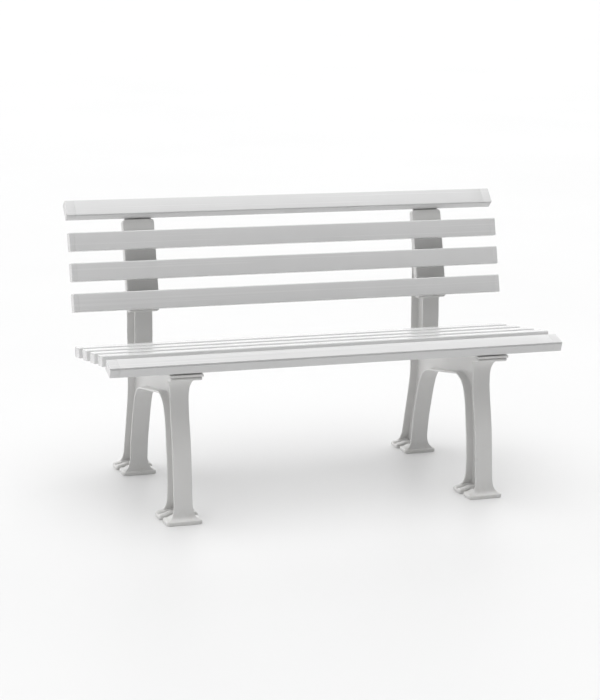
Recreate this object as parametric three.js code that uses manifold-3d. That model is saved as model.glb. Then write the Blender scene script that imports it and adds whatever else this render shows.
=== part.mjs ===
// Garden bench: two moulded plastic side frames carry nine hollow plastic slats that run the full length.
// Millimetres, +Z up, +X along the bench, +Y towards the backrest. The origin is on the ground, under the
// middle of the bench. Side views are drawn as [y, z] with y measured back from the toe of the front foot.
import * as THREE from "three";
import { mergeVertices } from "three/addons/utils/BufferGeometryUtils.js";
import Module from "manifold-3d";

const wasm = await Module();
wasm.setup();

// ---------- Driving dimensions ----------
const LENGTH = 1200; // over the end caps
const FRAME_X = 408; // web of a side frame, from the middle of the bench
const GAP = 0.3; // clearance between pieces that touch

const SLAT = { width: 48, thickness: 27, radius: 3.5, wall: 2.4 };
const RAIL = { width: 46, thickness: 27, radius: 1.6, wall: 2.4, lip: 3, recess: 1.1, recessHeight: 6 };
const COLLAR = { slat: 14, rail: 24 }; // visible length of an end cap
const PLUG_DEPTH = 12; // how far a cap reaches into its slat
const PLUG_WALL = 2;
const CAP_END = 2.6; // closed end of a cap
const CAP_CHAMFER = 0.8;
const CELL_CORNER = 1;

const SEAT_TILT = -8.4; // degrees, falling towards the back
const SEAT_PITCH = 84; // along the seat, slat to slat
const SEAT_NOSE = [72, 424.5]; // front top edge of the first plain seat slat
const FRONT_RAIL_NOSE = [-10.6, 412.7];
const FRONT_RAIL_TILT = 15.5;
const BACK_LEAN = 15.5; // degrees off vertical
const BACK_PITCH = 78.5; // up the back, slat to slat
const BACK_FOOT = [374.5, 469]; // front lower edge of the lowest back slat
const TOP_RAIL_NOSE = [452.6, 708];
const TOP_RAIL_TILT = 46.5;

const WEB = 6; // thickness of a frame's central wall
const FLANGE = 5; // thickness of its edge flanges
const FLANGE_HALF = 24; // half the width of the leg flanges
const BEARER = 6; // thickness of the flange under the seat slats
const BEARER_HALF = 42; // half the width of the seat bearer and of the back plate
const PLATE = { depth: 22, wall: 4.5, radius: 9, drop: 5, top: 690 };
const SADDLE = 5;

const FOOT_HALF = 46; // half the width of the flange blanks, before the flare trims them
const FOOT_EDGE = 2.5; // rounding of the foot lobes
const FRONT_FOOT = 0; // y of the toe of the front foot
const REAR_FOOT = 438;
const LOBES = [
  { start: 0, length: 49, half: 46, corner: 9, height: 11 }, // toe
  { start: 56, length: 46, half: 51, corner: 14, height: 14 }, // heel, a little wider
];
const SOLE = 3; // the web and flanges stop this far above the ground, between the lobes

const SCREW = { shank: 4.4, hole: 5.4, head: 9, headHeight: 2.8, reach: 9, offset: 16 };
const SCREW_SIDES = 8;
const CAPITAL_GRIP = 9; // plastic left above the head of the screw that is sunk into the capital
const FRONT_STEPS = 28; // points along each curve of a frame
const ARCH_STEPS = 17;
const REAR_STEPS = 18;

// ---------- Side-view curves of a frame ----------
// Front face of the front leg: a cove up from the toe's edge, then on to the underside of the seat capital.
const FRONT_FACE = [
  [1.2, 9.2], [4, 10.6], [7.2, 13.4], [10, 17.4], [12.2, 22.6], [14.2, 30], [17.2, 46], [21, 70],
  [26, 112], [34.5, 175], [45.5, 226], [55.5, 264],
  [61, 300], [60.5, 330], [56, 348], [45, 360], [28, 365.5], [8, 369],
];
// Rear face of the front leg, up into the corner of the leg arch.
const ARCH_FRONT = [
  [98, 6], [90, 22], [85, 46], [83.5, 75], [85, 98], [89, 136], [96.5, 175], [106.5, 227],
  [116.5, 257], [130, 278], [149, 291], [172, 296.5],
];
// From the rear corner of the arch down the front of the rear leg.
const ARCH_REAR = [
  [352, 262], [377, 254], [394, 241], [405, 225], [412, 207], [420, 185], [430, 150],
  [440, 110], [446, 75], [448.5, 45], [447, 24], [441, 6],
];
// Rear edge, from under the top rail down to the heel.
const REAR_FACE = [
  [502.6, 714.5], [499, 620], [494.5, 500], [490, 400], [484, 300], [481, 240], [483, 210],
  [491, 171], [502, 125], [512.5, 84], [521, 51], [528, 24], [536, 6],
];
// Half-width of the leg flanges against height: wide at the foot, then slim.
const FOOT_FLARE = [
  [45, 0], [43, 9.2], [41, 10.6], [36.8, 13.4], [32.2, 17.4], [28.6, 22.6], [26, 30], [24.6, 38], [24, 46],
];
// The front leg also spreads again under the seat.
const CAPITAL_FLARE = [[24, 322], [26, 338], [30, 350], [37, 361]];
// Where the front of the upright meets the seat bearer, and the foot of the back plate.
const UPRIGHT_FRONT = [[404, 344], [404.5, 402], [409, 470]];

// ---------- Materials ----------
const plastic = new THREE.MeshStandardMaterial({ color: 0xf1f1ef, roughness: 0.32, metalness: 0 });
const capPlastic = new THREE.MeshStandardMaterial({ color: 0xeeeeec, roughness: 0.36, metalness: 0 });
const steel = new THREE.MeshStandardMaterial({ color: 0xb9bcc0, roughness: 0.35, metalness: 1 });

// ---------- Solids ----------
const AXIS_X = new THREE.Vector3(1, 0, 0);
const AXIS_Y = new THREE.Vector3(0, 1, 0);
const AXIS_Z = new THREE.Vector3(0, 0, 1);
const SIDE_VIEW = new THREE.Matrix4().makeBasis(AXIS_Y, AXIS_Z, AXIS_X);
const FRONT_VIEW = new THREE.Matrix4().makeBasis(AXIS_X, AXIS_Z, AXIS_Y.clone().negate());

function toSolid(geometry) {
  const bare = geometry.clone();
  bare.deleteAttribute("normal");
  bare.deleteAttribute("uv");
  const merged = mergeVertices(bare, 1e-4);
  const corners = Array.from(merged.index.array);
  const triVerts = [];
  for (let i = 0; i < corners.length; i += 3) {
    const [a, b, c] = corners.slice(i, i + 3);
    if (a !== b && b !== c && c !== a) triVerts.push(a, b, c);
  }
  return new wasm.Manifold(
    new wasm.Mesh({
      numProp: 3,
      vertProperties: merged.attributes.position.array,
      triVerts: new Uint32Array(triVerts),
    }),
  );
}

function toMesh(name, solid, material) {
  const data = solid.getMesh();
  const geometry = new THREE.BufferGeometry();
  geometry.setAttribute("position", new THREE.BufferAttribute(data.vertProperties, 3));
  geometry.setIndex(new THREE.BufferAttribute(data.triVerts, 1));
  geometry.computeVertexNormals();
  const mesh = new THREE.Mesh(geometry, material);
  mesh.name = name;
  return mesh;
}

const union = (parts) => parts.reduce((a, b) => a.add(b));

// A side-view outline, extruded from x0 to x1.
function across(shape, x0, x1, curveSegments = 2) {
  const geometry = new THREE.ExtrudeGeometry(shape, { depth: x1 - x0, bevelEnabled: false, curveSegments });
  return toSolid(geometry.translate(0, 0, x0).applyMatrix4(SIDE_VIEW));
}

// A front-view outline [x, z], extruded from y0 to y1.
function through(shape, y0, y1) {
  const geometry = new THREE.ExtrudeGeometry(shape, { depth: y1 - y0, bevelEnabled: false });
  return toSolid(geometry.translate(0, 0, -y1).applyMatrix4(FRONT_VIEW));
}

const vectors = (points) => points.map(([u, v]) => new THREE.Vector2(u, v));
const outline = (points) => new THREE.Shape(vectors(points));
const smooth = (points, steps) =>
  new THREE.SplineCurve(vectors(points)).getPoints(steps).map((p) => [p.x, p.y]);

// A strip along a line of points, thick on the left of the direction of travel.
function strip(points, thickness) {
  const p = vectors(points);
  const inner = p.map((point, i) => {
    const before = p[Math.max(i - 1, 0)];
    const after = p[Math.min(i + 1, p.length - 1)];
    const along = after.clone().sub(before).normalize();
    return new THREE.Vector2(point.x - along.y * thickness, point.y + along.x * thickness);
  });
  return new THREE.Shape([...p, ...inner.reverse()]);
}

function roundedRect(x0, y0, x1, y1, r) {
  const shape = new THREE.Shape();
  shape.moveTo(x0 + r, y0);
  shape.lineTo(x1 - r, y0);
  shape.absarc(x1 - r, y0 + r, r, -Math.PI / 2, 0, false);
  shape.lineTo(x1, y1 - r);
  shape.absarc(x1 - r, y1 - r, r, 0, Math.PI / 2, false);
  shape.lineTo(x0 + r, y1);
  shape.absarc(x0 + r, y1 - r, r, Math.PI / 2, Math.PI, false);
  shape.lineTo(x0, y0 + r);
  shape.absarc(x0 + r, y0 + r, r, Math.PI, Math.PI * 1.5, false);
  return shape;
}

// ---------- Slats ----------
const rad = THREE.MathUtils.degToRad;
const along = ([y, z], tilt, distance) => [
  y + Math.cos(rad(tilt)) * distance,
  z + Math.sin(rad(tilt)) * distance,
];

const slats = [
  { name: "seat_front_rail", nose: FRONT_RAIL_NOSE, tilt: FRONT_RAIL_TILT, kind: "rail" },
  ...[0, 1, 2, 3].map((i) => ({
    name: `seat_slat_${i + 1}`,
    nose: along(SEAT_NOSE, SEAT_TILT, i * SEAT_PITCH),
    tilt: SEAT_TILT,
    kind: "slat",
  })),
  ...[0, 1, 2].map((i) => ({
    name: `back_slat_${i + 1}`,
    nose: along(BACK_FOOT, 90 - BACK_LEAN, i * BACK_PITCH),
    tilt: 90 - BACK_LEAN,
    kind: "slat",
  })),
  { name: "back_top_rail", nose: TOP_RAIL_NOSE, tilt: TOP_RAIL_TILT, kind: "rail" },
];

const section = (kind) => (kind === "rail" ? RAIL : SLAT);

// A section lies along +Y from its nose, with the face that is sat on or leant on at z = 0.
function outerProfile(kind) {
  const { width, thickness, radius } = section(kind);
  if (kind === "slat") return roundedRect(0, -thickness, width, 0, radius);
  // A rail has a sharp nose that overhangs a shallow recess in its front face.
  const { lip, recess, recessHeight } = RAIL;
  return outline([
    [0.6, 0], [width - radius, 0], [width, -radius], [width, radius - thickness],
    [width - radius, -thickness], [radius, -thickness], [0, radius - thickness],
    [0, -lip - recessHeight - 1], [recess, -lip - recessHeight], [recess, -lip], [0, -lip + 0.8], [0, -0.6],
  ]);
}

function bevelledRect(x0, y0, x1, y1, c) {
  return outline([
    [x0 + c, y0], [x1 - c, y0], [x1, y0 + c], [x1, y1 - c],
    [x1 - c, y1], [x0 + c, y1], [x0, y1 - c], [x0, y0 + c],
  ]);
}

// The two cells inside a section, either side of its middle wall, drawn in by an amount.
function cells(kind, inset) {
  const { width, thickness, wall } = section(kind);
  const middle = width / 2;
  const near = wall + inset;
  const front = kind === "rail" ? near + RAIL.recess : near;
  return [
    bevelledRect(front, near - thickness, middle - wall / 2 - inset, -near, CELL_CORNER),
    bevelledRect(middle + wall / 2 + inset, near - thickness, width - near, -near, CELL_CORNER),
  ];
}

// Screws go into the middle of one cell, one screw at each frame.
const screwSeat = (kind) => section(kind).width * (kind === "rail" ? 0.3 : 0.72);
const screwX = FRAME_X - SCREW.offset;

function rod(radius, z0, z1) {
  const geometry = new THREE.CylinderGeometry(radius, radius, z1 - z0, SCREW_SIDES);
  return toSolid(geometry.rotateX(Math.PI / 2).translate(0, 0, (z0 + z1) / 2));
}

function slatSolid({ kind }) {
  const half = LENGTH / 2 - COLLAR[kind] - GAP;
  const profile = outerProfile(kind);
  profile.holes = cells(kind, 0);
  const { thickness, wall } = section(kind);
  const hole = rod(SCREW.hole / 2, -thickness - 1, -thickness + wall + 1);
  return [-screwX, screwX].reduce(
    (body, x) => body.subtract(hole.translate([x, screwSeat(kind), 0])),
    across(profile, -half, half),
  );
}

// An end cap for the +X end: a collar as large as the slat, closed at its outer end, with two plugs.
function capSolid({ kind }) {
  const inner = LENGTH / 2 - COLLAR[kind];
  const outer = LENGTH / 2;
  const collar = new THREE.ExtrudeGeometry(outerProfile(kind), {
    depth: outer - inner - 2 * CAP_CHAMFER,
    bevelThickness: CAP_CHAMFER,
    bevelSize: CAP_CHAMFER,
    bevelOffset: -CAP_CHAMFER,
    bevelSegments: 1,
    curveSegments: 2,
  });
  const body = toSolid(collar.translate(0, 0, inner + CAP_CHAMFER).applyMatrix4(SIDE_VIEW));
  const plugs = cells(kind, GAP).map((cell) => across(cell, inner - PLUG_DEPTH, inner + 1));
  const pockets = cells(kind, GAP + PLUG_WALL).map((cell) =>
    across(cell, inner - PLUG_DEPTH - 1, outer - CAP_END),
  );
  return pockets.reduce((a, b) => a.subtract(b), union([body, ...plugs]));
}

// ---------- Screws ----------
// Pan head below z = 0, shank up through the frame's flange into the slat.
function screwSolid(grip) {
  const r = SCREW.shank / 2;
  const R = SCREW.head / 2;
  const h = SCREW.headHeight;
  const tip = grip + GAP + SCREW.reach;
  const profile = vectors([
    [0, -h], [R * 0.6, -h], [R * 0.92, -h * 0.6], [R, 0], [r, 0], [r, tip - 3], [0.6, tip], [0, tip],
  ]);
  const body = toSolid(new THREE.LatheGeometry(profile, SCREW_SIDES).rotateX(Math.PI / 2));
  const slot = toSolid(new THREE.BoxGeometry(R * 1.1, 1, 2.4).translate(0, 0, -h));
  return body.subtract(slot).subtract(slot.rotate([0, 0, 90]));
}

// The flange each kind of slat is screwed through.
function gripOf(name) {
  if (name === "seat_front_rail") return CAPITAL_GRIP;
  if (name.startsWith("seat")) return BEARER;
  return name === "back_top_rail" ? SADDLE : PLATE.wall;
}

// ---------- Side frame ----------
// A point on the underside of a slat, and the line of its bearing face dropped by the clearance.
function underside(slat, distance) {
  const [y, z] = along(slat.nose, slat.tilt, distance);
  return along([y, z], slat.tilt - 90, section(slat.kind).thickness + GAP);
}

const bySlat = Object.fromEntries(slats.map((slat) => [slat.name, slat]));

// Top face of the seat bearer, from the lip of the capital back to the upright.
function bearerTop() {
  const rail = bySlat.seat_front_rail;
  const first = bySlat.seat_slat_1;
  const last = bySlat.seat_slat_4;
  return [
    underside(rail, -2), underside(rail, RAIL.width - 1), underside(first, -6), underside(first, 0),
    underside(last, SLAT.width), underside(last, SLAT.width + 36),
  ];
}

// Web outline: everything between the outer faces and the leg arch.
function webSolid() {
  const lowest = bySlat.back_slat_1;
  const rail = bySlat.back_top_rail;
  return across(
    outline([
      [FRONT_FOOT + 12, SOLE], ...smooth(FRONT_FACE, FRONT_STEPS), [4, 372], [4, 380],
      ...bearerTop().slice(0, 5), ...UPRIGHT_FRONT,
      underside(lowest, 6), underside(lowest, 3 * BACK_PITCH - 10),
      underside(rail, -1), underside(rail, RAIL.width - 2),
      ...smooth(REAR_FACE, REAR_STEPS), [REAR_FOOT + 98, SOLE], [REAR_FOOT + 6, SOLE],
      ...smooth(ARCH_REAR, ARCH_STEPS).reverse(), ...smooth(ARCH_FRONT, ARCH_STEPS).reverse(),
      [FRONT_FOOT + 94, SOLE],
    ]),
    -WEB / 2,
    WEB / 2,
  );
}

// Mirror a half-width table into a front-view outline that ends at a height.
function flared(table, top) {
  const right = [...table, [table[table.length - 1][0], top]];
  const left = right.map(([x, z]) => [-x, z]).reverse();
  return outline([...right, ...left]);
}

function legFlanges() {
  const front = across(strip(smooth(FRONT_FACE, FRONT_STEPS).reverse(), FLANGE), -FOOT_HALF, FOOT_HALF);
  const arch = across(
    strip([...smooth(ARCH_FRONT, ARCH_STEPS), ...smooth(ARCH_REAR, ARCH_STEPS)], FLANGE),
    -FOOT_HALF,
    FOOT_HALF,
  );
  const rear = across(strip(smooth(REAR_FACE, REAR_STEPS).reverse(), FLANGE), -FOOT_HALF, FOOT_HALF);
  const slim = through(flared(FOOT_FLARE, 760), -20, 600);
  const spread = through(flared([...FOOT_FLARE, ...CAPITAL_FLARE], 390), -20, 600);
  return [front.intersect(spread), arch.intersect(slim), rear.intersect(slim)];
}

// The stepped moulding that ends the seat bearer under the front rail: lip, groove and lower bead.
function capital() {
  const rail = bySlat.seat_front_rail;
  const [y, z] = underside(rail, -2);
  const lip = outline([
    [y, z], underside(rail, 30), [30, z - 6], [y + 1.5, z - 7.5], [y, z - 6],
  ]);
  const neck = outline([[y + 7, z - 4], [30, z - 4], [30, z - 14], [y + 7, z - 14]]);
  const bead = outline([
    [y + 5.5, z - 10], [y + 30, z - 8], [y + 42, z - 22], [y + 13, z - 18], [y + 6.5, z - 15.5],
  ]);
  return [
    across(lip, -BEARER_HALF, BEARER_HALF),
    across(neck, -BEARER_HALF + 7, BEARER_HALF - 7),
    across(bead, -BEARER_HALF + 5, BEARER_HALF - 5),
  ];
}

// The wide channel behind the back slats, open towards the rear.
function backPlate() {
  const lowest = bySlat.back_slat_1;
  const [y, z] = underside(lowest, -PLATE.drop);
  const height = (PLATE.top - z) / Math.cos(rad(BACK_LEAN));
  const flat = (shape, from, to) => {
    const options = { depth: to - from, bevelEnabled: false, curveSegments: 2 };
    const geometry = new THREE.ExtrudeGeometry(shape, options);
    const solid = toSolid(geometry.translate(0, 0, -to).applyMatrix4(FRONT_VIEW));
    return solid.rotate([-BACK_LEAN, 0, 0]).translate([0, y, z]);
  };
  const { depth, wall, radius } = PLATE;
  const face = roundedRect(-BEARER_HALF, 0, BEARER_HALF, height, radius);
  const pocket = roundedRect(wall - BEARER_HALF, wall, BEARER_HALF - wall, height - wall, radius - wall);
  return flat(face, 0, depth).subtract(flat(pocket, wall, depth + 1));
}

function foot(start) {
  return LOBES.map((lobe) => {
    const shape = roundedRect(
      FOOT_EDGE - lobe.half,
      start + lobe.start + FOOT_EDGE,
      lobe.half - FOOT_EDGE,
      start + lobe.start + lobe.length - FOOT_EDGE,
      lobe.corner,
    );
    const geometry = new THREE.ExtrudeGeometry(shape, {
      depth: lobe.height - 2 * FOOT_EDGE,
      bevelThickness: FOOT_EDGE,
      bevelSize: FOOT_EDGE,
      bevelSegments: 2,
      curveSegments: 2,
    });
    return toSolid(geometry.translate(0, 0, FOOT_EDGE));
  });
}

function saddle() {
  const rail = bySlat.back_top_rail;
  const line = [underside(rail, RAIL.width - 2), underside(rail, -1)];
  return across(strip(line, SADDLE), -BEARER_HALF + 6, BEARER_HALF - 6);
}

function sideFrame(inward) {
  const bearer = across(strip([...bearerTop()].reverse(), BEARER), -BEARER_HALF, BEARER_HALF);
  const upright = across(strip([...UPRIGHT_FRONT].reverse(), FLANGE), -FLANGE_HALF, FLANGE_HALF);
  const body = union([
    webSolid(), ...legFlanges(), bearer, upright, ...capital(), backPlate(), saddle(),
    ...foot(FRONT_FOOT), ...foot(REAR_FOOT),
  ]);
  return slats.reduce((frame, slat) => {
    const [y, z] = underside(slat, screwSeat(slat.kind));
    const hole = rod(SCREW.hole / 2, -12, 2);
    const sunk = rod(SCREW.head / 2 + 0.8, -30, -CAPITAL_GRIP);
    const cut = slat.name === "seat_front_rail" ? hole.add(sunk) : hole;
    return frame.subtract(cut.rotate([slat.tilt, 0, 0]).translate([inward * SCREW.offset, y, z]));
  }, body);
}

// ---------- Assembly ----------
const bench = new THREE.Group();
const depth = REAR_FOOT + LOBES[1].start + LOBES[1].length;
bench.position.y = -(depth + FRONT_RAIL_NOSE[0]) / 2;

for (const [name, side] of [["left_side_frame", -1], ["right_side_frame", 1]]) {
  const frame = toMesh(name, sideFrame(-side), plastic);
  frame.position.x = side * FRAME_X;
  bench.add(frame);
}

for (const slat of slats) {
  const group = new THREE.Group();
  group.position.set(0, ...slat.nose);
  group.rotation.x = rad(slat.tilt);
  group.add(toMesh(slat.name, slatSolid(slat), plastic));
  const cap = capSolid(slat);
  const grip = gripOf(slat.name);
  const screw = screwSolid(grip);
  for (const [end, side] of [["left", -1], ["right", 1]]) {
    const capMesh = toMesh(`${slat.name}_cap_${end}`, cap, capPlastic);
    capMesh.scale.x = side;
    group.add(capMesh);
    const screwMesh = toMesh(`${slat.name}_screw_${end}`, screw, steel);
    const back = section(slat.kind).thickness + GAP;
    screwMesh.position.set(side * screwX, screwSeat(slat.kind), -back - grip - GAP);
    group.add(screwMesh);
  }
  bench.add(group);
}

export default bench;
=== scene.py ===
import math

import bmesh
import bpy
from mathutils import Matrix, Vector


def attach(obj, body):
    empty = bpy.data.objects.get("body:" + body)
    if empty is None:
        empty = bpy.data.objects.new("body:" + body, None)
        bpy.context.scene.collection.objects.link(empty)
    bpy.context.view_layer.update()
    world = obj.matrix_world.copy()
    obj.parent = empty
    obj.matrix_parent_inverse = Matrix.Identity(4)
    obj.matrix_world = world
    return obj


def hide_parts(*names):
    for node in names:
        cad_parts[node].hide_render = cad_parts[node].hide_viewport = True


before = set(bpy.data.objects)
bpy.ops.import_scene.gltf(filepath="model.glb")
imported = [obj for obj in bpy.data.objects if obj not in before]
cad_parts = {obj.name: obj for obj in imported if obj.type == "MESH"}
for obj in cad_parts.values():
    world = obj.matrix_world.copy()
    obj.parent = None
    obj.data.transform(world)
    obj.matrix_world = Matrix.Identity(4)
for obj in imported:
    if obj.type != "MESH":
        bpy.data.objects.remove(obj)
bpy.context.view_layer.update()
scene = bpy.context.scene
scene.view_settings.view_transform = "Standard"

MM = 0.001

# ---------- Camera ----------
CAMERA_AT = Vector((-1.653, -4.535, 1.502))
CAMERA_YAW, CAMERA_PITCH, CAMERA_ROLL = (math.radians(a) for a in (19.77, 13.3, 1.39))
LENS_MM = 97.2
CAMERA_CLIP_M = 100


def make_camera():
    forward = Vector((math.sin(CAMERA_YAW) * math.cos(CAMERA_PITCH),
                      math.cos(CAMERA_YAW) * math.cos(CAMERA_PITCH), -math.sin(CAMERA_PITCH)))
    level = Vector((math.cos(CAMERA_YAW), -math.sin(CAMERA_YAW), 0))
    up = level.cross(forward)
    right = math.cos(CAMERA_ROLL) * level + math.sin(CAMERA_ROLL) * up
    up = right.cross(forward)
    data = bpy.data.cameras.new("camera")
    data.lens = LENS_MM
    data.clip_end = CAMERA_CLIP_M
    camera = bpy.data.objects.new("camera", data)
    camera.matrix_world = Matrix((
        (right.x, up.x, -forward.x, CAMERA_AT.x),
        (right.y, up.y, -forward.y, CAMERA_AT.y),
        (right.z, up.z, -forward.z, CAMERA_AT.z),
        (0, 0, 0, 1)))
    scene.collection.objects.link(camera)
    scene.camera = camera


make_camera()

# ---------- Dimensions, as in the CAD source ----------
LENGTH = 1200
FRAME_X = 408
# The clearance under each slat, and the one between a slat and its end caps.
GAP = 0.3
SEAM = 0.12
SLAT = dict(width=48, thickness=27, radius=3.5)
RAIL = dict(width=46, thickness=27, radius=2.6)
# How much of each end of a slat or rail the end cap covers.
COLLAR = dict(slat=14, rail=24)
# The chamfer on each side of a cap's seam, as (distance from the seam, inset).
SEAM_CHAMFER = [(0, 0.16), (0.06, 0.05), (0.2, 0)]
# An end cap's rounded outer edge, and the panel in its face, as (depth, border).
CAP_ROUND = 1.3
CAP_PANEL = [(0, 3.0), (0.12, 3.3), (0.6, 3.7), (0.75, 4.2)]
# The rail's sharp front edge, and the shadow groove under it as (depth, drop below the outer face).
ARRIS_RADIUS = 0.9
GROOVE = [
    (0, 1.0), (0.5, 1.15), (2.0, 1.4), (2.1, 2.0), (2.1, 3.6), (1.6, 4.4), (0.3, 4.9), (0, 5.4)]
FRONT_RAIL_NOSE, FRONT_RAIL_TILT = (-10.6, 412.7), 15.5
TOP_RAIL_NOSE, TOP_RAIL_TILT = (452.6, 708), 46.5
SEAT_SLATS, SEAT_TILT, SEAT_PITCH, SEAT_NOSE = 4, -8.4, 84, (72, 424.5)
BACK_SLATS, BACK_LEAN, BACK_PITCH, BACK_FOOT = 3, 15.5, 78.5, (374.5, 469)
# How much of the frame each screw passes through.
GRIP = dict(front_rail=9, seat=6, back=4.5, top_rail=5)

# Each foot's toe and heel lobes. A ridge runs across the lobe between two depths, and coves down
# from the leg, as (half width, height).
REAR_FOOT, FOOT_LENGTH = 438, 102
TOE_COVE = [(0, 20), (12, 20), (22, 19.6), (27, 17.2), (32, 14.2), (38, 11.9), (46, 10.8)]
HEEL_COVE = [(0, 20), (12, 20), (23, 19.7), (28, 17.9), (34, 15.4), (41, 13.6), (51, 12.5)]
LOBES = [
    dict(start=0, length=49, half=46, corner=9, height=10.4, edge=3.4,
         ridges=[(9, 48.5)], cove=TOE_COVE),
    dict(start=56, length=46, half=51, corner=14, height=8.5, edge=3.2,
         ridges=[(56.5, 75), (82, 101.5)], cove=HEEL_COVE)]
LOBE_UNDER_EDGE = 1.6
# A ridge starts at RIDGE_BASE above the floor, stops RIDGE_MARGIN short of the lobe's edge, and is
# rounded off over RIDGE_END, where it gets lower and narrower.
RIDGE_BASE, RIDGE_MARGIN, RIDGE_END = 2.5, 0.8, 6
RIDGE_END_HEIGHT, RIDGE_END_NARROWING = 0.45, 4.5
DEPTH_MIDDLE = (REAR_FOOT + FOOT_LENGTH + FRONT_RAIL_NOSE[0]) / 2

WEB_HALF, WEB_INSET = 3, 2
FLANGE, FLANGE_HALF, FLANGE_FILLET, FLANGE_EDGE = 5, 24, 3.5, 1.7
BEARER, BEARER_HALF, TOP_SEAT_HALF = 6, 42, 36
PLATE_DEPTH, PLATE_WALL, PLATE_RADIUS, PLATE_TOP = 22, 4.5, 9, 690

# The screws stand SCREW_OFFSET inwards of the web and reach SCREW_REACH into the slat.
SCREW_OFFSET, SCREW_HEAD, SCREW_HEAD_HEIGHT, SCREW_DOME = 16, 4.5, 2.8, 0.9
SCREW_SHANK, SCREW_REACH, SCREW_SIDES = 2.2, 9, 40
# Where the screw meets the slat, as a part of its width.
SCREW_SEAT = dict(rail=0.3, slat=0.72)
THREAD_PITCH, THREAD_DEPTH, THREAD_START, THREAD_MARGIN = 1.4, 0.35, 0.3, 3.2
# The cross recess. Its wall slopes from RECESS_RIM in to RECESS_FLOOR, in half widths of the cross.
RECESS_DEPTH, RECESS_RADIUS, RECESS_HALF, RECESS_ARM = 1.5, 3.2, 0.55, 2.5
RECESS_RIM, RECESS_FLOOR = 1.25, 0.9

# The frame's outer lines in side view. The first points of FRONT_FACE are the foot's cove, which
# the web leaves out.
COVE_POINTS = 4
FRONT_FACE = [
    (1.2, 9.2), (4, 10.6), (7.2, 13.4), (10, 17.4), (12.2, 22.6), (14.2, 30), (17.2, 46),
    (21, 70), (26, 112), (34.5, 175), (45.5, 226), (55.5, 264), (61, 300), (60.5, 330),
    (56, 348), (45, 360), (28, 365.5), (8, 369)]
ARCH_FRONT = [
    (98, 6), (90, 22), (85, 46), (83.5, 75), (85, 98), (89, 136), (96.5, 175), (106.5, 227),
    (116.5, 257), (130, 278), (149, 291), (172, 296.5)]
ARCH_REAR = [
    (352, 262), (377, 254), (394, 241), (405, 225), (412, 207), (420, 185), (430, 150),
    (440, 110), (446, 75), (448.5, 45), (447, 24), (441, 6)]
REAR_FACE = [
    (502.6, 714.5), (499, 620), (494.5, 500), (490, 400), (484, 300), (481, 240), (483, 210),
    (491, 171), (502, 125), (512.5, 84), (521, 51), (528, 24), (536, 6)]
UPRIGHT_FRONT = [(404, 344), (404.5, 402), (409, 470)]
# Half widths of the leg flanges, as (height, half width).
FOOT_FLARE = [
    (0, 45), (9.2, 43), (10.6, 41), (13.4, 36.8), (17.4, 32.2), (22.6, 28.6), (30, 26),
    (38, 24.6), (46, 24)]
CAPITAL_FLARE = [(322, 24), (338, 26), (350, 30), (361, 37), (372, 37)]
# The height at which the front flange passes from one of these tables to the other.
FLARES_MEET = 300


def along(point, tilt, distance):
    """The point a distance away at a tilt in degrees."""
    a = math.radians(tilt)
    return point[0] + math.cos(a) * distance, point[1] + math.sin(a) * distance


def slat_row(name, count, start, tilt, pitch, grip):
    return [dict(name=f"{name}_{i + 1}", nose=along(start, tilt, i * pitch), tilt=tilt,
                 kind="slat", grip=grip) for i in range(count)]


SLATS = [dict(name="seat_front_rail", nose=FRONT_RAIL_NOSE, tilt=FRONT_RAIL_TILT, kind="rail",
              grip=GRIP["front_rail"])]
SLATS += slat_row("seat_slat", SEAT_SLATS, SEAT_NOSE, SEAT_TILT, SEAT_PITCH, GRIP["seat"])
SLATS += slat_row("back_slat", BACK_SLATS, BACK_FOOT, 90 - BACK_LEAN, BACK_PITCH, GRIP["back"])
SLATS.append(dict(name="back_top_rail", nose=TOP_RAIL_NOSE, tilt=TOP_RAIL_TILT, kind="rail",
                  grip=GRIP["top_rail"]))
BY_NAME = {slat["name"]: slat for slat in SLATS}


def section(slat):
    return RAIL if slat["kind"] == "rail" else SLAT


def underside(slat, distance, extra=GAP):
    """A point a little below a slat's underside, at a distance from its nose."""
    on_face = along(slat["nose"], slat["tilt"], distance)
    return along(on_face, slat["tilt"] - 90, section(slat)["thickness"] + extra)


# ---------- Mesh helpers ----------
def mesh_object(name, verts, faces, material, smooth_angle=32):
    """Makes a mesh in metres from vertices in millimetres.

    Edges that turn by less than smooth_angle degrees are shaded smooth.
    """
    mesh = bpy.data.meshes.new(name)
    mesh.from_pydata([(x * MM, (y - DEPTH_MIDDLE) * MM, z * MM) for x, y, z in verts], [], faces)
    mesh.validate()
    mesh.update()
    bm = bmesh.new()
    bm.from_mesh(mesh)
    bmesh.ops.recalc_face_normals(bm, faces=bm.faces)
    limit = math.radians(smooth_angle)
    for edge in bm.edges:
        edge.smooth = len(edge.link_faces) != 2 or edge.calc_face_angle(0) < limit
    for face in bm.faces:
        face.smooth = True
    bm.to_mesh(mesh)
    bm.free()
    mesh.materials.append(material)
    obj = bpy.data.objects.new(name, mesh)
    scene.collection.objects.link(obj)
    return obj


class Builder:
    """Collects several closed shells into one mesh."""

    def __init__(self):
        self.verts, self.faces = [], []

    def loft(self, rings):
        """Joins rings of equal length into a shell with a face at each end."""
        base, n, last = len(self.verts), len(rings[0]), len(rings) - 1
        for ring in rings:
            self.verts.extend(ring)
        for j in range(last):
            a, b = base + j * n, base + (j + 1) * n
            for k in range(n):
                self.faces.append((a + k, a + (k + 1) % n, b + (k + 1) % n, b + k))
        self.faces.append(tuple(base + k for k in range(n))[::-1])
        self.faces.append(tuple(base + last * n + k for k in range(n)))

    def build(self, name, material, **options):
        return mesh_object(name, self.verts, self.faces, material, **options)


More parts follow.
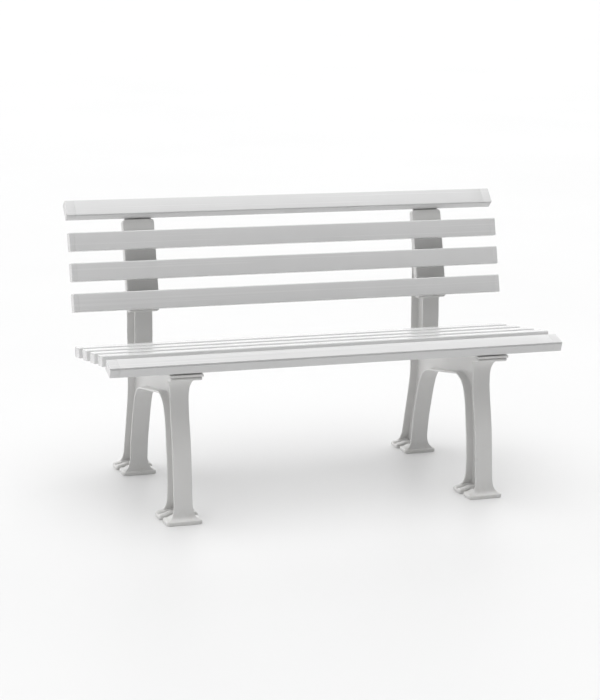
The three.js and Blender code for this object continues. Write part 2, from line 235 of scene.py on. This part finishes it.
def spline(points, per_span=5):
    """Uniform Catmull-Rom through the points."""
    out = []
    last = len(points) - 1
    for i in range(last):
        p = [points[max(i - 1, 0)], points[i], points[i + 1], points[min(i + 2, last)]]
        for step in range(per_span):
            t = step / per_span
            out.append(tuple(
                0.5 * (2 * b + (c - a) * t + (2 * a - 5 * b + 4 * c - d) * t * t
                       + (3 * b - a - 3 * c + d) * t ** 3)
                for a, b, c, d in zip(*p)))
    out.append(tuple(points[last]))
    return out


def quarter(steps, first=0):
    """The angles of a quarter turn in equal steps, in radians."""
    return [math.radians(90 * k / steps) for k in range(first, steps + 1)]


def arc(cx, cy, r, start, steps):
    """A quarter circle from a start angle in degrees."""
    angles = [math.radians(start + 90 * k / steps) for k in range(steps + 1)]
    return [(cx + r * math.cos(a), cy + r * math.sin(a)) for a in angles]


def rounded_rect(x0, y0, x1, y1, r, steps):
    return (arc(x1 - r, y0 + r, r, -90, steps) + arc(x1 - r, y1 - r, r, 0, steps)
            + arc(x0 + r, y1 - r, r, 90, steps) + arc(x0 + r, y0 + r, r, 180, steps))


def interpolate(table, at):
    """Reads a table of (position, value), with straight lines between its points."""
    if at <= table[0][0]:
        return table[0][1]
    for (a, va), (b, vb) in zip(table, table[1:]):
        if at <= b:
            t = (at - a) / (b - a)
            return va + (vb - va) * t
    return table[-1][1]


def normals(points):
    """Unit normals on the left of the direction of travel."""
    out = []
    for i in range(len(points)):
        a, b = points[max(i - 1, 0)], points[min(i + 1, len(points) - 1)]
        dy, dz = b[0] - a[0], b[1] - a[1]
        size = math.hypot(dy, dz) or 1
        out.append((-dz / size, dy / size))
    return out


def flange_section(half, thickness):
    """Half of a flange's section as (x, depth), from the middle of its outer face to the web."""
    edge, under_edge, fillet = FLANGE_EDGE, 0.8 * FLANGE_EDGE, FLANGE_FILLET
    points = [(0, 0), (half / 2, 0), (half - edge, 0)]
    points += [(half - edge + edge * math.sin(a), edge - edge * math.cos(a)) for a in quarter(4, 1)]
    low = thickness - under_edge
    points.append((half, low))
    points += [(half - under_edge + under_edge * math.cos(a), low + under_edge * math.sin(a))
               for a in quarter(3, 1)]
    points.append((WEB_HALF + fillet, thickness))
    points += [(WEB_HALF + fillet - fillet * math.sin(a), thickness + fillet - fillet * math.cos(a))
               for a in quarter(5, 1)]
    return points


def flange(builder, x, points, half, thickness=FLANGE):
    """Sweeps a flange along a side-view curve. half is a number or a function of height."""
    rings = []
    for (py, pz), (ny, nz) in zip(points, normals(points)):
        right = flange_section(half(pz) if callable(half) else half, thickness)
        loop = right + [(-sx, d) for sx, d in reversed(right[1:])]
        rings.append([(x + sx, py + ny * d, pz + nz * d) for sx, d in loop])
    builder.loft(rings)


def bar(builder, profile, x0, x1, r, steps=4):
    """A side-view profile extruded along X, with its end edges rounded."""
    inward = closed_normals(profile)

    def ring(x, inset):
        return [(x, y + ny * inset, z + nz * inset) for (y, z), (ny, nz) in zip(profile, inward)]

    rings = [ring(x0 + r - r * math.cos(a), r - r * math.sin(a)) for a in quarter(steps)]
    rings += [ring(x1 - r + r * math.sin(a), r - r * math.cos(a)) for a in quarter(steps)]
    builder.loft(rings)


def closed_normals(points):
    """Unit normals of a closed outline, pointing inwards."""
    out = []
    n = len(points)
    area = sum(p[0] * q[1] - q[0] * p[1] for p, q in zip(points, points[1:] + points[:1]))
    sign = 1 if area > 0 else -1
    for i in range(n):
        a, b = points[i - 1], points[(i + 1) % n]
        dy, dz = b[0] - a[0], b[1] - a[1]
        size = math.hypot(dy, dz) or 1
        out.append((-dz / size * sign, dy / size * sign))
    return out


# ---------- Materials ----------
def node_material(name):
    material = bpy.data.materials.new(name)
    material.use_nodes = True
    tree = material.node_tree
    return material, tree, tree.nodes["Principled BSDF"]


def mapped(tree, scale):
    coords = tree.nodes.new("ShaderNodeTexCoord")
    mapping = tree.nodes.new("ShaderNodeMapping")
    mapping.inputs["Scale"].default_value = scale
    tree.links.new(coords.outputs["Object"], mapping.inputs["Vector"])
    return mapping.outputs["Vector"]


def noise(tree, vector, scale, detail=4, roughness=0.55):
    node = tree.nodes.new("ShaderNodeTexNoise")
    node.inputs["Scale"].default_value = scale
    node.inputs["Detail"].default_value = detail
    node.inputs["Roughness"].default_value = roughness
    tree.links.new(vector, node.inputs["Vector"])
    return node.outputs["Fac"]


def remap(tree, value, low, high, from_low=0.3, from_high=0.7):
    node = tree.nodes.new("ShaderNodeMapRange")
    node.inputs["From Min"].default_value = from_low
    node.inputs["From Max"].default_value = from_high
    node.inputs["To Min"].default_value = low
    node.inputs["To Max"].default_value = high
    tree.links.new(value, node.inputs["Value"])
    return node.outputs["Result"]


# The Mix node's sockets when it mixes colours.
MIX_FACTOR, MIX_A, MIX_B, MIX_RESULT = 0, 6, 7, 2


def mix_colour(tree, factor, a, b):
    node = tree.nodes.new("ShaderNodeMix")
    node.data_type = "RGBA"
    for socket, value in ((MIX_A, a), (MIX_B, b)):
        if isinstance(value, tuple):
            node.inputs[socket].default_value = (*value, 1)
        else:
            tree.links.new(value, node.inputs[socket])
    tree.links.new(factor, node.inputs[MIX_FACTOR])
    return node.outputs[MIX_RESULT]


def bump(tree, height, strength, distance, under=None):
    node = tree.nodes.new("ShaderNodeBump")
    node.inputs["Strength"].default_value = strength
    node.inputs["Distance"].default_value = distance
    tree.links.new(height, node.inputs["Height"])
    if under:
        tree.links.new(under, node.inputs["Normal"])
    return node.outputs["Normal"]


# Noise scales, from coarse to fine: cloudy tone, gloss, slow waviness, dust specks and grain.
CLOUD_SCALE, GLOSS_SCALE, WAVE_SCALE, SPECK_SCALE, GRAIN_SCALE = 7, 9, 14, 60, 420
# Noise scales along X, Y and Z, for the marks drawn along an extrusion and for its gloss.
DRAWN_MARKS, DRAWN_GLOSS = (0.25, 600, 600), (0.8, 160, 160)
STEEL_CLOUD_SCALE, STEEL_GLOSS_SCALE, STEEL_GRAIN_SCALE = 700, 1500, 2500
# The colour of dust, against the plastic's darker tone, and the height in metres that it reaches.
DUST_TINT, DUST_REACH = (0.84, 0.82, 0.78), 0.05


def plastic(name, base, shade, rough, spread, streaks=False, coat=0.25, specular=0.5):
    """White plastic: a cloudy tone and gloss, a fine surface texture, and a little dust low down.

    streaks is for an extrusion, whose texture is drawn out along X.
    """
    material, tree, shader = node_material(name)
    plain = mapped(tree, (1, 1, 1))
    cloud = noise(tree, plain, CLOUD_SCALE, detail=3)
    colour = mix_colour(tree, remap(tree, cloud, 0, 1), base, shade)
    split = tree.nodes.new("ShaderNodeSeparateXYZ")
    tree.links.new(plain, split.inputs["Vector"])
    near_floor = remap(tree, split.outputs["Z"], 1, 0, 0.0, DUST_REACH)
    speckle = remap(tree, noise(tree, plain, SPECK_SCALE, detail=6), 0, 0.55, 0.45, 0.72)
    dust = tree.nodes.new("ShaderNodeMath")
    dust.operation = "MULTIPLY"
    tree.links.new(near_floor, dust.inputs[0])
    tree.links.new(speckle, dust.inputs[1])
    dusty = tuple(tone * tint for tone, tint in zip(shade, DUST_TINT))
    colour = mix_colour(tree, dust.outputs[0], colour, dusty)
    tree.links.new(colour, shader.inputs["Base Color"])
    if streaks:
        marks = noise(tree, mapped(tree, DRAWN_MARKS), 1, detail=2, roughness=0.5)
        normal = bump(tree, marks, strength=0.012, distance=0.0002)
        gloss = noise(tree, mapped(tree, DRAWN_GLOSS), 1, detail=2)
    else:
        grain = noise(tree, plain, GRAIN_SCALE, detail=2)
        normal = bump(tree, grain, strength=0.07, distance=0.0003)
        gloss = noise(tree, plain, GLOSS_SCALE, detail=2)
    waves = noise(tree, plain, WAVE_SCALE, detail=1)
    normal = bump(tree, waves, strength=0.02, distance=0.003, under=normal)
    tree.links.new(normal, shader.inputs["Normal"])
    tree.links.new(remap(tree, gloss, rough - spread, rough + spread), shader.inputs["Roughness"])
    shader.inputs["IOR"].default_value = 1.5
    shader.inputs["Specular IOR Level"].default_value = specular
    shader.inputs["Coat Weight"].default_value = coat
    shader.inputs["Coat Roughness"].default_value = 0.14
    return material


def steel(name):
    material, tree, shader = node_material(name)
    plain = mapped(tree, (1, 1, 1))
    cloud = remap(tree, noise(tree, plain, STEEL_CLOUD_SCALE), 0, 1)
    colour = mix_colour(tree, cloud, (0.50, 0.51, 0.53), (0.66, 0.67, 0.69))
    tree.links.new(colour, shader.inputs["Base Color"])
    gloss = noise(tree, plain, STEEL_GLOSS_SCALE, detail=3)
    tree.links.new(remap(tree, gloss, 0.24, 0.42), shader.inputs["Roughness"])
    grain = noise(tree, plain, STEEL_GRAIN_SCALE, detail=2)
    tree.links.new(bump(tree, grain, strength=0.2, distance=0.0001), shader.inputs["Normal"])
    shader.inputs["Metallic"].default_value = 1
    return material


# spread is how far the roughness varies to each side of rough.
FRAME_LOOK = dict(base=(0.66, 0.657, 0.648), shade=(0.637, 0.634, 0.625), rough=0.30, spread=0.027)
SLAT_LOOK = dict(base=(0.695, 0.695, 0.695), shade=(0.675, 0.675, 0.675), rough=0.27, spread=0.006,
                 streaks=True, coat=0.08, specular=0.4)
FRAME_PLASTIC = plastic("frame_plastic_look", **FRAME_LOOK)
SLAT_PLASTIC = plastic("slat_plastic_look", **SLAT_LOOK)
CAP_PLASTIC = plastic("cap_plastic_look", **SLAT_LOOK)
SCREW_STEEL = steel("screw_steel_look")


def finish_piece(obj, node):
    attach(obj, "root")
    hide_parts(node)


# ---------- Slats, end caps and screws ----------
def slat_outline(slat, inset=0):
    """Closed outline (u, v): u from the nose along the outer face, v down into the section."""
    w, t, r = (section(slat)[key] for key in ("width", "thickness", "radius"))
    if slat["kind"] == "slat":
        return rounded_rect(inset, inset - t, w - inset, -inset, max(r - inset, 0.5), 7)
    corner = max(r - inset, 0.35)
    points = arc(inset + corner, inset - t + corner, corner, 180, 5)
    points += arc(w - inset - corner, inset - t + corner, corner, 270, 5)
    points += arc(w - inset - corner, -inset - corner, corner, 0, 5)
    points += arc(inset + ARRIS_RADIUS, -inset - ARRIS_RADIUS, ARRIS_RADIUS, 90, 4)
    return points + [(inset + depth, -drop) for depth, drop in GROOVE]


def placed(slat, x, u, v):
    """A point of a slat's outline, put where the slat is."""
    a = math.radians(slat["tilt"])
    y, z = slat["nose"]
    return x, y + u * math.cos(a) - v * math.sin(a), z + u * math.sin(a) + v * math.cos(a)


def make_slat(slat):
    half = LENGTH / 2 - COLLAR[slat["kind"]] - SEAM
    flat, spans = SEAM_CHAMFER[-1][0], 24
    stations = [(-half + distance, inset) for distance, inset in SEAM_CHAMFER]
    stations += [(-half + flat + (2 * half - 2 * flat) * k / spans, 0) for k in range(1, spans)]
    stations += [(half - distance, inset) for distance, inset in reversed(SEAM_CHAMFER)]
    builder = Builder()
    builder.loft([[placed(slat, x, u, v) for u, v in slat_outline(slat, inset)]
                  for x, inset in stations])
    obj = builder.build(slat["name"] + "_extrusion", SLAT_PLASTIC)
    finish_piece(obj, slat["name"])


def make_cap(slat, side, end):
    """A moulded end cap: chamfered seam, rounded outer edge, and a shallow panel in a raised rim."""
    inner, outer = LENGTH / 2 - COLLAR[slat["kind"]], LENGTH / 2
    r = CAP_ROUND
    stations = [(inner + distance, inset) for distance, inset in SEAM_CHAMFER]
    stations += [(outer - r + r * math.sin(a), r - r * math.cos(a)) for a in quarter(5)]
    rings = [[placed(slat, side * x, u, v) for u, v in slat_outline(slat, inset)]
             for x, inset in stations]
    width, thickness = section(slat)["width"], section(slat)["thickness"]
    middle_u, middle_v = width / 2, -thickness / 2
    for depth, border in CAP_PANEL:
        scale_u, scale_v = 1 - 2 * border / width, 1 - 2 * border / thickness
        rings.append([placed(slat, side * (outer - depth), middle_u + (u - middle_u) * scale_u,
                             middle_v + (v - middle_v) * scale_v) for u, v in slat_outline(slat)])
    builder = Builder()
    builder.loft(rings)
    obj = builder.build(f"{slat['name']}_endcap_{end}", CAP_PLASTIC)
    finish_piece(obj, f"{slat['name']}_cap_{end}")


def screw_height(r, angle):
    """Height of the domed head's face with its cross recess."""
    x, y = abs(r * math.cos(angle)), abs(r * math.sin(angle))
    dome = SCREW_DOME * (1 - (r / SCREW_HEAD) ** 2)
    cross = min(max(x / RECESS_HALF, y / RECESS_ARM), max(y / RECESS_HALF, x / RECESS_ARM))
    depth = RECESS_DEPTH * (1 - r / RECESS_RADIUS) if r < RECESS_RADIUS else 0
    slope = (RECESS_RIM - cross) / (RECESS_RIM - RECESS_FLOOR)
    return dome - depth * max(0.0, min(1.0, slope))


def screw_profile(grip):
    """The screw from its face to its point as (radius, height). None stands for the head's face."""
    rim = SCREW_DOME - SCREW_HEAD_HEIGHT
    profile = [(r, None) for r in (0.02, 0.5, 0.9, 1.4, 1.9, 2.4, 2.9, 3.4, 3.9)]
    profile += [(4.25, rim + 0.15), (4.45, rim + 0.5), (SCREW_HEAD, rim + 1.0),
                (SCREW_HEAD, -0.15), (4.35, 0), (SCREW_SHANK, 0)]
    reach = grip + GAP + SCREW_REACH
    steps = 2 * int(reach / THREAD_PITCH)
    for k in range(steps):
        depth = THREAD_DEPTH if k % 2 else 0
        profile.append((SCREW_SHANK - depth, THREAD_START + (reach - THREAD_MARGIN) * k / steps))
    return profile + [(0.6, reach - 0.1), (0.05, reach)]


def make_screw(slat, side, end):
    seat_u = section(slat)["width"] * SCREW_SEAT[slat["kind"]]
    seat_v = -section(slat)["thickness"] - 2 * GAP - slat["grip"]
    x0 = side * (FRAME_X - SCREW_OFFSET)
    rings = []
    for r, height in screw_profile(slat["grip"]):
        ring = []
        for k in range(SCREW_SIDES):
            a = 2 * math.pi * k / SCREW_SIDES
            w = SCREW_DOME - SCREW_HEAD_HEIGHT - screw_height(r, a) if height is None else height
            ring.append(placed(slat, x0 + r * math.cos(a), seat_u + r * math.sin(a), seat_v + w))
        rings.append(ring)
    builder = Builder()
    builder.loft(rings)
    obj = builder.build(f"{slat['name']}_fixing_{end}", SCREW_STEEL)
    finish_piece(obj, f"{slat['name']}_screw_{end}")


for slat in SLATS:
    make_slat(slat)
    for end, side in (("left", -1), ("right", 1)):
        make_cap(slat, side, end)
        make_screw(slat, side, end)


# ---------- Side frames ----------
ARCH = spline(ARCH_FRONT) + spline(ARCH_REAR)


def bearer_top():
    """The line that the seat rests on, from the front rail to the upright."""
    rail, first, last = (BY_NAME[name] for name in ("seat_front_rail", "seat_slat_1", "seat_slat_4"))
    width = SLAT["width"]
    return [underside(rail, -2), underside(rail, 20), underside(rail, RAIL["width"] - 1),
            underside(first, -6), underside(first, 0), underside(last, width),
            underside(last, width + 36)]


def densify(points, step=12):
    """Straight lines cut into pieces of about one step."""
    out = []
    for a, b in zip(points, points[1:]):
        n = max(1, int(math.hypot(b[0] - a[0], b[1] - a[1]) / step))
        out += [(a[0] + (b[0] - a[0]) * k / n, a[1] + (b[1] - a[1]) * k / n) for k in range(n)]
    return out + [points[-1]]


def offset(points, distance):
    return [(y + ny * distance, z + nz * distance)
            for (y, z), (ny, nz) in zip(points, normals(points))]


def web(builder, x):
    """The frame's central wall, kept inside the flanges that edge it."""
    rail, lowest = BY_NAME["back_top_rail"], BY_NAME["back_slat_1"]
    # Round from the front foot: up the leg, back along the bearer, up the upright and the plate,
    # down the rear, and forward through the arch.
    front = offset(spline(FRONT_FACE[COVE_POINTS:])[::-1], WEB_INSET)[::-1]
    rear = offset(spline(REAR_FACE)[::-1], WEB_INSET)[::-1]
    arch = offset(ARCH, WEB_INSET)[::-1]
    outline = [(14, 4)] + front + [(10, 374)]
    outline += [(y, z - WEB_INSET) for y, z in bearer_top()[1:6]]
    outline += [(407, 350), (407, 402), (411, 462)]
    y, z = underside(lowest, 6)
    outline += [(y + WEB_INSET, z), underside(lowest, BACK_SLATS * BACK_PITCH - 12, 2)]
    outline += [underside(rail, 2, 2.5), underside(rail, RAIL["width"] - 6, 2.5)]
    outline += rear + [(REAR_FOOT + 94, 4), (REAR_FOOT + 8, 4)] + arch + [(92, 4)]
    builder.loft([[(x + side * WEB_HALF, y, z) for y, z in outline] for side in (-1, 1)])


def capital(builder, x):
    """A lip, a groove and a bead under the front rail, with dark shadow gaps between them."""
    rail = BY_NAME["seat_front_rail"]
    y, z = underside(rail, -2)
    lip = [underside(rail, 38), (40, z - 8), (y + 3, z - 8.2), (y + 1, z - 7.6),
           (y + 0.1, z - 6.2), (y + 0.2, z - 4.0), (y + 1.2, z - 2.8), (y + 3, z - 2.1),
           (y + 18, z - 1.2), (y + 21, z + 4)]
    neck = [(40, z - 4), (40, z - 16), (y + 6.5, z - 16), (y + 6.5, z - 4)]
    bead = [(y + 32, z - 8.6), (y + 42, z - 24), (y + 26, z - 21.6), (y + 14, z - 19.4),
            (y + 8, z - 18), (y + 5, z - 16.6), (y + 3.2, z - 14.6), (y + 2.9, z - 12.4),
            (y + 3.7, z - 10.6), (y + 5.6, z - 9.6)]
    for profile, inset, r in ((lip, 0, 1.6), (neck, 6, 0.8), (bead, 2.5, 2.2)):
        bar(builder, profile, x - BEARER_HALF + inset, x + BEARER_HALF - inset, r)


def back_plate(builder, x):
    """A wide channel behind the back slats, rounded at its corners and open to the rear."""
    y0, z0 = underside(BY_NAME["back_slat_1"], -5)
    lean = math.radians(BACK_LEAN)
    height = (PLATE_TOP - z0) / math.cos(lean)
    # The channel's skin as (inset, depth): its outside to the rear edge, then back up its inside.
    wall = PLATE_WALL
    lip = [(0, PLATE_DEPTH - 1.1), (0.25, PLATE_DEPTH - 0.4), (0.9, PLATE_DEPTH)]
    stations = [(2.4, 0), (1.2, 0.2), (0.4, 0.8), (0, 2.2)] + lip
    stations += [(wall - inset, depth) for inset, depth in reversed(lip)]
    stations += [(wall + 0.2, wall + 1.6), (wall + 0.7, wall + 0.5), (wall + 1.9, wall)]
    rings = []
    for inset, depth in stations:
        outline = rounded_rect(inset - BEARER_HALF, inset, BEARER_HALF - inset, height - inset,
                               max(PLATE_RADIUS - inset, 0.8), 8)
        rings.append([(x + u, y0 + v * math.sin(lean) + depth * math.cos(lean),
                       z0 + v * math.cos(lean) - depth * math.sin(lean)) for u, v in outline])
    builder.loft(rings)


def lobe(builder, x, start, spec):
    """A foot lobe, rounded at its edges."""
    low, top = LOBE_UNDER_EDGE, spec["edge"]
    stations = [(low - low * math.sin(a), low - low * math.cos(a)) for a in quarter(4)]
    stations += [(top - top * math.cos(a), spec["height"] - top + top * math.sin(a))
                 for a in quarter(5)]
    y0, half = start + spec["start"], spec["half"]
    y1 = y0 + spec["length"]
    rings = []
    for inset, z in stations:
        outline = rounded_rect(inset - half, y0 + inset, half - inset, y1 - inset,
                               spec["corner"] - inset * 0.6, 8)
        rings.append([(x + u, v, z) for u, v in outline])
    builder.loft(rings)


def foot_ridge(builder, x, first, last, spec):
    """A rounded ridge across a lobe, coved from the leg to the lobe's edge, with rounded ends."""
    straight = spec["half"] - RIDGE_MARGIN - RIDGE_END
    middle, half_length = (first + last) / 2, (last - first) / 2
    cove = spline(spec["cove"], 6)
    half_spans, arch_steps = 18, 24
    places = [straight * k / half_spans for k in range(-half_spans, half_spans + 1)]
    ends = [straight + RIDGE_END * math.sin(a) for a in quarter(6, 1)[:-1]]
    rings = []
    for u in [-end for end in reversed(ends)] + places + ends:
        past = max(0, abs(u) - straight) / RIDGE_END
        round_off = math.sqrt(1 - past * past)
        rise = interpolate(cove, abs(u)) * (RIDGE_END_HEIGHT + (1 - RIDGE_END_HEIGHT) * round_off)
        rise -= RIDGE_BASE
        across = half_length - RIDGE_END_NARROWING * (1 - round_off)
        ring = []
        for k in range(arch_steps + 1):
            # The powers give the arch fuller shoulders than a half ellipse has.
            a = math.pi * k / arch_steps
            side = math.copysign(abs(math.cos(a)) ** 0.7, math.cos(a))
            ring.append((x + u, middle + across * side, RIDGE_BASE + rise * math.sin(a) ** 0.6))
        rings.append(ring)
    builder.loft(rings)


def leg_half(z):
    """Half the width of a leg's flange at a height."""
    return interpolate(FOOT_FLARE, z)


def front_half(z):
    return leg_half(z) if z < FLARES_MEET else interpolate(CAPITAL_FLARE, z)


def make_frame(name, x):
    builder = Builder()
    web(builder, x)
    flange(builder, x, spline(FRONT_FACE)[::-1], front_half)
    flange(builder, x, ARCH, leg_half)
    flange(builder, x, spline(REAR_FACE)[::-1], leg_half)
    flange(builder, x, densify(bearer_top()[1:])[::-1], BEARER_HALF, BEARER)
    flange(builder, x, densify(UPRIGHT_FRONT)[::-1], FLANGE_HALF)
    rail = BY_NAME["back_top_rail"]
    top_seat = [underside(rail, RAIL["width"] - 2), underside(rail, -1)]
    flange(builder, x, densify(top_seat), TOP_SEAT_HALF)
    capital(builder, x)
    back_plate(builder, x)
    for start in (0, REAR_FOOT):
        for spec in LOBES:
            lobe(builder, x, start, spec)
            for first, last in spec["ridges"]:
                foot_ridge(builder, x, start + first, start + last, spec)
    obj = builder.build(name + "_moulding", FRAME_PLASTIC, smooth_angle=38)
    finish_piece(obj, name)


make_frame("left_side_frame", -FRAME_X)
make_frame("right_side_frame", FRAME_X)


# ---------- Studio ----------
FLOOR_HALF_M = 60
FLOOR_TONES = ((0.70, 0.70, 0.70), (0.715, 0.715, 0.715))
WHITE = (1, 1, 1, 1)
# How strong each part of the sky is.
CEILING, LEFT_FILL, WALL, HORIZON, AMBIENT = 2.65, 0.42, 1.35, 0.65, 0.05


def make_floor():
    size = FLOOR_HALF_M
    mesh = bpy.data.meshes.new("studio_floor")
    corners = [(-size, -size, 0), (size, -size, 0), (size, size, 0), (-size, size, 0)]
    mesh.from_pydata(corners, [], [(0, 1, 2, 3)])
    material, tree, shader = node_material("studio_floor_look")
    tint = remap(tree, noise(tree, mapped(tree, (1, 1, 1)), 0.7, 2), 0, 1)
    tree.links.new(mix_colour(tree, tint, *FLOOR_TONES), shader.inputs["Base Color"])
    shader.inputs["Roughness"].default_value = 0.5
    shader.inputs["Emission Color"].default_value = WHITE
    shader.inputs["Emission Strength"].default_value = 0.04
    mesh.materials.append(material)
    floor = bpy.data.objects.new("studio_floor", mesh)
    scene.collection.objects.link(floor)


def make_sky():
    """A soft studio made from directions: a ceiling, a fill on the left, and a pale wall behind."""
    world = bpy.data.worlds.new("studio")
    world.use_nodes = True
    tree = world.node_tree
    coords = tree.nodes.new("ShaderNodeTexCoord")
    split = tree.nodes.new("ShaderNodeSeparateXYZ")
    tree.links.new(coords.outputs["Generated"], split.inputs["Vector"])

    def combine(operation, a, b):
        node = tree.nodes.new("ShaderNodeMath")
        node.operation = operation
        for socket, value in zip(node.inputs, (a, b)):
            if isinstance(value, (int, float)):
                socket.default_value = value
            else:
                tree.links.new(value, socket)
        return node.outputs[0]

    x, y, z = (split.outputs[axis] for axis in "XYZ")
    # The ceiling light leans a little towards the front, which is -Y.
    upwards = combine("SUBTRACT", combine("MULTIPLY", z, 0.99), combine("MULTIPLY", y, 0.12))
    ceiling = remap(tree, upwards, 0, CEILING, 0.68, 0.95)
    left = remap(tree, x, LEFT_FILL, 0, -0.75, -0.2)
    low = remap(tree, z, 1, 0, 0.5, 0.8)
    behind = remap(tree, y, 0, 1, -0.2, 0.35)
    wall = combine("MULTIPLY", combine("MULTIPLY", low, behind), WALL)
    near_horizon = remap(tree, z, HORIZON, 0, 0.03, 0.16)
    horizon = combine("MULTIPLY", near_horizon, remap(tree, y, 1, 0, -0.2, 0.35))
    lights = combine("ADD", combine("ADD", ceiling, left), combine("ADD", wall, horizon))
    background = tree.nodes["Background"]
    tree.links.new(combine("ADD", lights, AMBIENT), background.inputs["Strength"])
    background.inputs["Color"].default_value = WHITE
    scene.world = world


make_floor()
make_sky()
